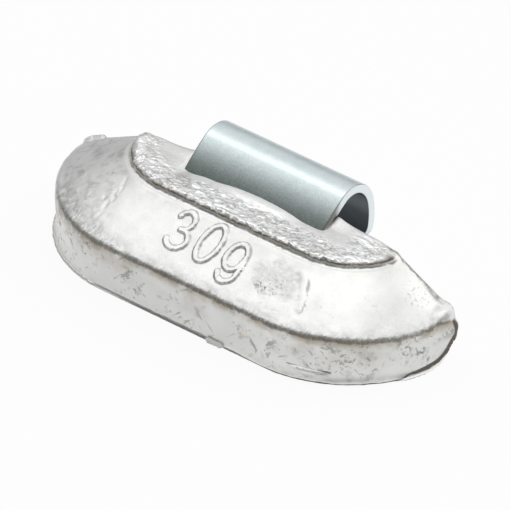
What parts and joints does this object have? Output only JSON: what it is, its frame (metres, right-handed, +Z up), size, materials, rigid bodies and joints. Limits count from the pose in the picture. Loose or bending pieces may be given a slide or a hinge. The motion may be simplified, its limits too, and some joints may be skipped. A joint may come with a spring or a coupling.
{
  "type": "wheel balance weight",
  "caption": "Clip-on wheel balance weight: a cast lead body with a sloping shoulder and a bent spring-steel clip that hooks over the rim flange.",
  "frame": {"origin": "under the middle of the part's box, on the plane it stands on", "axes": "+X along the rim, +Y towards the rim flange and the clip, +Z up from the base"},
  "size_m": [0.0408, 0.0166, 0.0105],
  "materials": {
    "cast_lead": "as cast, bright, with dull tarnish in the creases",
    "zinc_plated_steel": "satin zinc plating"
  },
  "bodies": {
    "root": {"cast_body": "cast_lead", "spring_clip": "zinc_plated_steel"}
  },
  "joints": []
}
